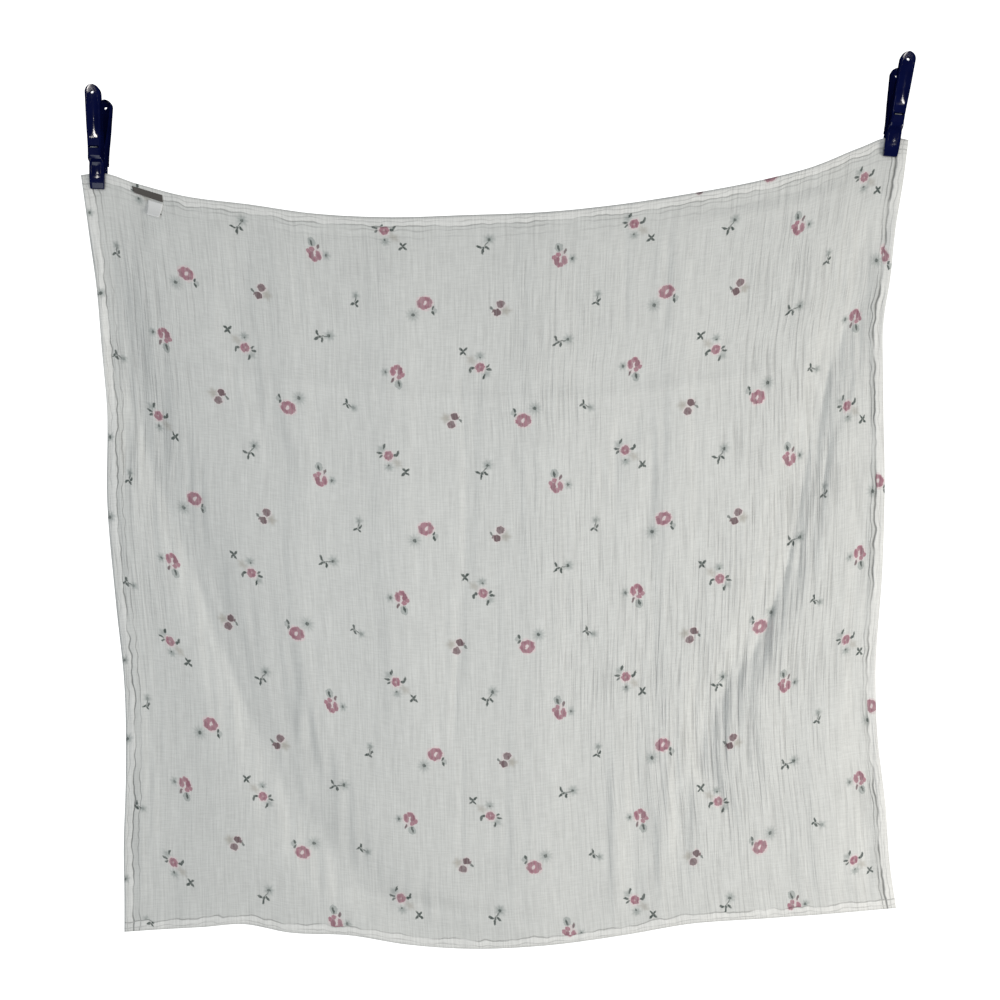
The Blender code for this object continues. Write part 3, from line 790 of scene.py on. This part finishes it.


# the hem's band, and the painted shadow lines where its stitching draws the cloth in, from the flat map
def hemMask(tree, flatMap):
    plan = hemPlan
    parts = addNode(tree, "ShaderNodeSeparateXYZ", None, {0: flatMap})
    u, v = parts.outputs[0], parts.outputs[1]
    wander = threadNoise(tree, flatMap, plan["wanderLength"], plan["wanderLength"], 1, 0.5)
    wander = scaled(tree, wander, 0.25, 0.75, -plan["wander"], plan["wander"])
    depth = threadNoise(tree, flatMap, plan["breakLength"], plan["breakLength"], 1, 0.5)
    depth = scaled(tree, depth, 0.35, 0.55, plan["faintest"], 1.0)
    sides = [
        ("left", u), ("right", combined(tree, "SUBTRACT", blanketPlan["width"], u)),
        ("bottom", combined(tree, "SUBTRACT", blanketPlan["height"], v)), ("top", v)]
    seam = blanketPlan["hemWidth"]
    band, line = None, None
    for side, fromEdge in sides:
        wavy = combined(tree, "ADD", fromEdge, wander)
        inside = scaled(tree, wavy, seam, seam - plan["bandFade"], 0, 1)
        band = inside if band is None else combined(tree, "MAXIMUM", band, inside)
        for away, halfWidth, strength in plan[side]:
            near = combined(tree, "ABSOLUTE", combined(tree, "SUBTRACT", wavy, away * mm), 0)
            drawn = scaled(tree, near, halfWidth * mm, plan["lineCore"], 0, strength)
            drawn = combined(tree, "MULTIPLY", drawn, depth)
            line = drawn if line is None else combined(tree, "MAXIMUM", line, drawn)
    return {"band": band, "line": line}


# even shares of a side, drawn out so that its outer cells take the hem's width
def hemShare(even, cells, hemCells, length):
    hem = hemCells / cells
    share = blanketPlan["hemWidth"] / length
    return np.interp(even, [0, hem, 1 - hem, 1], [0, share, 1 - share, 1])


def makeBlanket():
    plan = blanketPlan
    grid, evenAcross, evenDown = sheetGrid(plan["columns"], plan["rows"])
    across = hemShare(evenAcross, plan["columns"], plan["hemColumns"], plan["width"])
    down = hemShare(evenDown, plan["rows"], plan["hemRows"], plan["height"])
    mesh = gridMesh("blanketCloth", grid, clothPoints(across, down))
    flat = np.stack([across * plan["width"], down * plan["height"]], axis=1)
    addUvMap(mesh, "printMap", printPoints(across, down))
    addUvMap(mesh, "flatMap", flat)
    plane = hungPlane(across, down)
    share = mesh.attributes.new("crinkleShare", "FLOAT", "POINT")
    share.data.foreach_set("value", crinkleShare(plane[:, 0], plane[:, 1]).astype(np.float32))
    gauze = makeGauze()
    blanket = addObject("blanketCloth", mesh, gauze, gauze, gauze)  # front, back and rim
    fromEdge = np.minimum(np.minimum(flat[:, 0], plan["width"] - flat[:, 0]),
                          np.minimum(flat[:, 1], plan["height"] - flat[:, 1]))
    hem = blanket.vertex_groups.new(name="hem")
    hem.add([int(i) for i in np.flatnonzero(fromEdge < plan["hemWidth"] * 0.9)], 1.0, "REPLACE")
    shell = blanket.modifiers.new("thickness", "SOLIDIFY")
    shell.thickness = plan["hemThickness"]
    shell.offset = 0
    shell.vertex_group = "hem"
    shell.thickness_vertex_group = plan["fieldThickness"] / plan["hemThickness"]
    shell.material_offset = 1
    shell.material_offset_rim = 2
    applyModifiers(blanket)
    addSideMap(blanket.data, len(across), across, down)
    blanket.data.materials.clear()
    blanket.data.materials.append(gauze)
    blanket.data.shade_smooth()
    return blanket


blanket = makeBlanket()
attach(blanket, "root")
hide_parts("blanket")
print("blanket:", len(blanket.data.polygons), "faces")


# The two labels: corners lie on the cloth in millimetres across and down from its upper left
# corner, in the order upper left, upper right, lower left, lower right.
labelPlan = [
    {"name": "wovenLabel", "node": "woven_label", "slot": "woven_tape", "material": "wovenTape",
     "corners": [(73, 6), (117, 7), (75, 15), (117, 18)], "columns": 22, "rows": 6,
     "curl": 1.2 * mm, "color": "#4f4944", "flat": (42 * mm, 10 * mm)},
    {"name": "careLabel", "node": "care_label", "slot": "care_tape", "material": "careTape",
     "corners": [(95, 19.5), (117, 20), (92, 44), (110, 44)], "columns": 12, "rows": 12,
     "curl": 6.0 * mm, "color": "#ffffff", "flat": (22 * mm, 24 * mm)},
]
labelThickness = 0.6 * mm
labelGap = 1.5 * mm  # from the cloth's middle surface to the label's


# Woven satin tape, folded and sewn in at the hem: close fine ribs and a soft shine.
def makeTape(name, color):
    material, tree = newMaterial(name)
    place = addNode(tree, "ShaderNodeTexCoord").outputs["Object"]
    ribs = addNode(
        tree, "ShaderNodeTexWave", {"Scale": 260.0, "Distortion": 0.6}, {"Vector": place},
        bands_direction="Z")
    shade = addNode(
        tree, "ShaderNodeMix", {6: toLinear(color), 7: toLinear("#ffffff")},
        {0: scaled(tree, ribs.outputs[1], 0, 1, 0.0, 0.1)}, data_type="RGBA")
    bump = addNode(
        tree, "ShaderNodeBump", {"Strength": 0.4, "Distance": 0.2 * mm}, {"Height": ribs.outputs[1]})
    shader = addNode(
        tree, "ShaderNodeBsdfPrincipled", {"Roughness": 0.55, "Sheen Weight": 0.1},
        {"Base Color": shade.outputs[2], "Normal": bump.outputs[0]})
    addNode(tree, "ShaderNodeOutputMaterial", None, {0: shader.outputs[0]})
    return material


def makeLabel(plan):
    grid, s, t = sheetGrid(plan["columns"], plan["rows"])
    corners = np.array(plan["corners"], float) * mm
    s, t = s[:, None], t[:, None]
    place = (
        (1 - s) * (1 - t) * corners[0] + s * (1 - t) * corners[1]
        + (1 - s) * t * corners[2] + s * t * corners[3]
    )
    points = clothPoints(place[:, 0] / blanketPlan["width"], place[:, 1] / blanketPlan["height"])
    points[:, 1] -= labelGap + labelThickness / 2 + plan["curl"] * t[:, 0] ** 2
    mesh = gridMesh(plan["name"], grid, points)
    label = addObject(plan["name"], mesh, makeTape(plan["material"], plan["color"]))
    shell = label.modifiers.new("thickness", "SOLIDIFY")
    shell.thickness = labelThickness
    shell.offset = 0
    applyModifiers(label)
    label.data.shade_smooth()
    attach(label, "root")
    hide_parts(plan["node"])
    return label


for plan in labelPlan:
    makeLabel(plan)
print("labels done")


# Clothes pegs: moulded polypropylene, polished in the mould, so it shines like wet paint.
def makePolypropylene():
    material, tree = newMaterial("navyPolypropylene")
    place = addNode(tree, "ShaderNodeTexCoord").outputs["Object"]
    flow = addNode(
        tree, "ShaderNodeTexNoise", {"Scale": 60.0, "Detail": 2.0}, {"Vector": place}).outputs[0]
    color = addNode(
        tree, "ShaderNodeMix", {6: toLinear("#070b30"), 7: toLinear("#0f1648")},
        {0: flow}, data_type="RGBA")
    bump = addNode(
        tree, "ShaderNodeBump", {"Strength": 0.25, "Distance": 0.4 * mm}, {"Height": flow})
    shader = addNode(
        tree, "ShaderNodeBsdfPrincipled",
        {"Roughness": 0.1, "IOR": 1.49},
        {"Base Color": color.outputs[2], "Normal": bump.outputs[0]})
    addNode(tree, "ShaderNodeOutputMaterial", None, {0: shader.outputs[0]})
    return material


# Spring wire: drawn steel, bright with fine lengthwise scratches.
def makeSpringSteel():
    material, tree = newMaterial("drawnSpringSteel")
    place = addNode(tree, "ShaderNodeTexCoord").outputs["Object"]
    scratches = addNode(
        tree, "ShaderNodeTexNoise", {"Scale": 900.0, "Detail": 2.0}, {"Vector": place}).outputs[0]
    color = addNode(
        tree, "ShaderNodeMix", {6: toLinear("#8f9296"), 7: toLinear("#c9ccd0")},
        {0: scratches}, data_type="RGBA")
    shader = addNode(
        tree, "ShaderNodeBsdfPrincipled", {"Roughness": 0.32, "Metallic": 1.0},
        {"Base Color": color.outputs[2]})
    addNode(tree, "ShaderNodeOutputMaterial", None, {0: shader.outputs[0]})
    return material


# A peg's arm, in millimetres up from the jaw's end: its half width, then how far its outside
# and its inside lie from the peg's middle plane. All its sizes are in millimetres.
armPlan = {
    "halfWidths": [
        (0, 9.5), (6, 10.0), (16, 10.5), (32, 10.3), (44, 9.3), (56, 9.2), (82, 9.9), (127.5, 10.5)],
    "outside": [
        (0, 6.2), (8, 7.4), (20, 8.7), (32, 9.6), (36.4, 10.2), (38.6, 17.6), (42, 19.2),
        (54, 20.6), (90, 25.6), (138, 31)],
    "inside": [(0, 1.6), (64, 1.6), (100, 13), (138, 22)],
    "length": 138,
    "tipRadius": 10.5,
    "springHeight": 50,
    "around": 80,
    "rings": 170,
    "squareness": 0.28,  # how square the section is: 1 is round, 0 a box
    "roundEnd": 0.9,
    "tipShare": 0.15,  # the rings that go round the tip
    # hollows moulded in the outside: height, half length, share of the half width, depth
    "dishes": [(96, 30, 0.72, 1.9), (25, 11, 0.5, 1.0)],
    # the open inside: where its floor starts and is full, and how wide its rim and its wall are
    "pocketFloor": (39.4, 41),
    "pocketRim": (2.2, 3.0),
    "pocketSkin": 3.4,
    "slot": (13, 3.4, 54.4),  # width and height of the spring's slot, and its height on the arm
    "slotCut": (9.4, 29.4),  # from and to, out from the middle plane
    "tipHole": 4.4,
    "holeCut": 80,
}


def smoothRise(value, low, high):
    t = np.clip((value - low) / (high - low), 0, 1)
    return t * t * (3 - 2 * t)


# the arm's skin at shares around its section and up its length, outside towards +Y
def armPoints(around, up):
    plan = armPlan
    tip = plan["length"] - plan["tipRadius"]
    straight = 1 - plan["tipShare"]
    overRound = math.pi / 2 * np.clip((up - straight) / plan["tipShare"], 0, 1)
    height = np.where(up < straight, up / straight * tip, tip + plan["tipRadius"] * np.sin(overRound))
    halfWidth = np.interp(height, *zip(*plan["halfWidths"]))
    overTip = np.clip((height - tip) / plan["tipRadius"], 0, 1)
    halfWidth = halfWidth * np.sqrt(1 - overTip**2)
    outside = np.interp(height, *zip(*plan["outside"]))
    inside = np.interp(height, *zip(*plan["inside"]))
    lowEdge = plan["roundEnd"] * (1 - np.sqrt(1 - np.clip(1 - height / plan["roundEnd"], 0, 1) ** 2))
    halfWidth, outside, inside = halfWidth - lowEdge, outside - lowEdge, inside + lowEdge
    angle = 2 * math.pi * around
    c, s = np.cos(angle), np.sin(angle)
    across = halfWidth * np.sign(c) * np.abs(c) ** plan["squareness"]
    toOutside = np.sign(s) * np.abs(s) ** plan["squareness"]
    depth = (outside + inside) / 2 + (outside - inside) / 2 * toOutside
    for middle, halfLength, share, dishDepth in plan["dishes"]:
        beside = np.clip(np.abs(across) / (share * plan["tipRadius"]), 0, 1)
        along = np.clip(np.abs(height - middle) / halfLength, 0, 1)
        dish = dishDepth * (1 - beside**2) * (1 - along**2)
        depth = depth - np.where(s > 0.01, dish, 0)
    pocket = np.clip(outside - inside - plan["pocketSkin"], 0, None)
    pocket = pocket * smoothRise(halfWidth - np.abs(across), *plan["pocketRim"])
    pocket = pocket * smoothRise(height, *plan["pocketFloor"])
    depth = depth + np.where(s < -0.01, pocket, 0)
    return np.stack([across, depth, height - plan["springHeight"]], axis=1) * mm


# cuts a closed form out of a piece
def cutAway(piece, cutter):
    mesh = bpy.data.meshes.new("cutter")
    cutter.to_mesh(mesh)
    cutter.free()
    tool = addObject("cutter", mesh)
    cut = piece.modifiers.new("cut", "BOOLEAN")
    cut.operation = "DIFFERENCE"
    cut.solver = "EXACT"
    cut.object = tool
    applyModifiers(piece)
    bpy.data.objects.remove(tool)


# one arm in its place; half turns it to the front or leaves it at the back
def makeArm(name, node, peg, half, material):
    plan = armPlan
    skin, around, down = sheetGrid(plan["around"], plan["rings"])
    for vertex, point in zip(skin.verts, armPoints(around, 1 - down)):
        vertex.co = point
    bmesh.ops.remove_doubles(skin, verts=skin.verts, dist=0.005 * mm)
    bmesh.ops.holes_fill(skin, edges=[e for e in skin.edges if e.is_boundary])
    bmesh.ops.recalc_face_normals(skin, faces=skin.faces)
    mesh = bpy.data.meshes.new(name)
    skin.to_mesh(mesh)
    skin.free()
    arm = addObject(name, mesh, material)
    width, height, up = plan["slot"]
    near, far = plan["slotCut"]
    place = (0, (near + far) / 2 * mm, (up - plan["springHeight"]) * mm)
    slot = bmesh.new()
    bmesh.ops.create_cube(slot, size=1)
    bmesh.ops.scale(slot, verts=slot.verts, vec=(width * mm, (far - near) * mm, height * mm))
    bmesh.ops.translate(slot, verts=slot.verts, vec=place)
    cutAway(arm, slot)
    hole = bmesh.new()
    radius = plan["tipHole"] / 2 * mm
    bmesh.ops.create_cone(
        hole, cap_ends=True, segments=24, radius1=radius, radius2=radius, depth=plan["holeCut"] * mm)
    bmesh.ops.rotate(hole, verts=hole.verts, matrix=Matrix.Rotation(math.pi / 2, 3, "X"))
    tip = plan["length"] - plan["tipRadius"] - plan["springHeight"]
    bmesh.ops.translate(hole, verts=hole.verts, vec=(0, 0, tip * mm))
    cutAway(arm, hole)
    lean = Matrix.Rotation(math.radians(peg["lean"]), 4, "Y")
    turn = Matrix.Rotation(math.radians(peg["turn"]), 4, "Z")
    atSpring = Matrix.Translation((peg["x"], 0, peg["z"]))
    arm.data.transform(atSpring @ turn @ lean @ Matrix.Rotation(half, 4, "Z"))
    arm.data.shade_smooth()
    arm.data.set_sharp_from_angle(angle=math.radians(38))
    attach(arm, "root")
    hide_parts(node)
    return arm


polypropylene = makePolypropylene()
springSteel = makeSpringSteel()
for peg in pegPlan:
    for part, half in (("front", math.pi), ("back", 0)):
        node = peg["side"] + "_peg_" + part + "_arm"
        name = peg["side"] + "Peg" + part.capitalize() + "Arm"
        makeArm(name, node, peg, half, polypropylene).name
    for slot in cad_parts[peg["side"] + "_peg_spring"].material_slots:
        slot.material = springSteel
print("pegs done")


# The studio: a white seamless sweep, a big soft light from the right, and a pale sky.
studioPlan = {
    "floorZ": -1.9,
    "wallY": 3.6,
    "wallHeight": 7.0,
    "halfWidth": 7.0,
    "sweepRadius": 1.4,
    "skyColor": "#eef4f4",
    "skyStrength": 0.25,
    "keyPlace": (1.7, -1.7, -1.3),
    "keySize": 0.9,
    "keyPower": 28.0,
    "keyColor": "#fffaf3",
    "keyAim": (0.1, 0, -0.6),
    "fillPlace": (-0.5, -1.9, -0.6),
    "fillSize": 1.2,
    "fillPower": 8.5,
    "fillColor": "#f2f8ff",
    "fillAim": (0, 0, -0.5),
    "glintPlaces": [(-1.14, -1.9, 0.46), (0.66, -1.9, 0.58)],
    "glintSize": 0.14,
    "glintPower": 2.6,
    "eye": (0.005, -1.38, -0.514),
    "lens": 34.92,
}


def makeBackdrop():
    plan = studioPlan
    sweep = bmesh.new()
    bmesh.ops.create_grid(sweep, x_segments=1, y_segments=1, size=1)
    bmesh.ops.scale(sweep, verts=sweep.verts, vec=(plan["halfWidth"], plan["wallY"], 1))
    bmesh.ops.translate(sweep, verts=sweep.verts, vec=(0, 0, plan["floorZ"]))
    far = [e for e in sweep.edges if all(v.co.y > plan["wallY"] - 0.01 for v in e.verts)]
    wall = bmesh.ops.extrude_edge_only(sweep, edges=far)
    raised = [v for v in wall["geom"] if isinstance(v, bmesh.types.BMVert)]
    bmesh.ops.translate(sweep, verts=raised, vec=(0, 0, plan["wallHeight"]))
    bmesh.ops.bevel(
        sweep, geom=far, offset=plan["sweepRadius"], segments=14, profile=0.5, affect="EDGES",
        material=-1)
    bmesh.ops.recalc_face_normals(sweep, faces=sweep.faces)
    mesh = bpy.data.meshes.new("backdrop")
    sweep.to_mesh(mesh)
    sweep.free()
    material, tree = newMaterial("paperSweep")
    material.cycles.emission_sampling = "NONE"  # it is seen white but lights nothing
    shader = addNode(
        tree, "ShaderNodeBsdfPrincipled",
        {"Base Color": toLinear("#ffffff"), "Roughness": 0.9, "Emission Color": toLinear("#ffffff"),
         "Emission Strength": 1.0})
    addNode(tree, "ShaderNodeOutputMaterial", None, {0: shader.outputs[0]})
    backdrop = addObject("backdrop", mesh, material)
    mesh.shade_smooth()
    backdrop.visible_diffuse = False
    backdrop.visible_glossy = False


def makeAreaLight(name, place, size, power, color, aim):
    data = bpy.data.lights.new(name, "AREA")
    data.size = size
    data.energy = power
    data.color = toLinear(color)[:3]
    lamp = bpy.data.objects.new(name, data)
    bpy.context.scene.collection.objects.link(lamp)
    lamp.location = place
    lamp.rotation_euler = (Vector(aim) - Vector(place)).to_track_quat("-Z", "Y").to_euler()
    return lamp


def makeStudio():
    plan = studioPlan
    makeBackdrop()
    for lamp in ("key", "fill"):
        makeAreaLight(
            lamp + "Light", plan[lamp + "Place"], plan[lamp + "Size"], plan[lamp + "Power"],
            plan[lamp + "Color"], plan[lamp + "Aim"])
    for i, place in enumerate(plan["glintPlaces"]):  # small lamps that the polished pegs mirror
        makeAreaLight(
            "glint" + str(i), place, plan["glintSize"], plan["glintPower"], plan["keyColor"],
            (pegPlan[i]["x"], 0, pegPlan[i]["z"]))
    world = bpy.data.worlds.new("paleSky")
    world.use_nodes = True
    sky = world.node_tree.nodes["Background"]
    sky.inputs[0].default_value = toLinear(plan["skyColor"])
    sky.inputs[1].default_value = plan["skyStrength"]
    world.cycles_visibility.glossy = False
    scene = bpy.context.scene
    scene.world = world
    scene.view_settings.view_transform = "Standard"
    camera = bpy.data.objects.new("camera", bpy.data.cameras.new("camera"))
    scene.collection.objects.link(camera)
    camera.location = plan["eye"]
    camera.rotation_euler = (math.pi / 2, 0, 0)
    camera.data.sensor_width = 36
    camera.data.lens = plan["lens"]
    scene.camera = camera


makeStudio()
print("studio done")
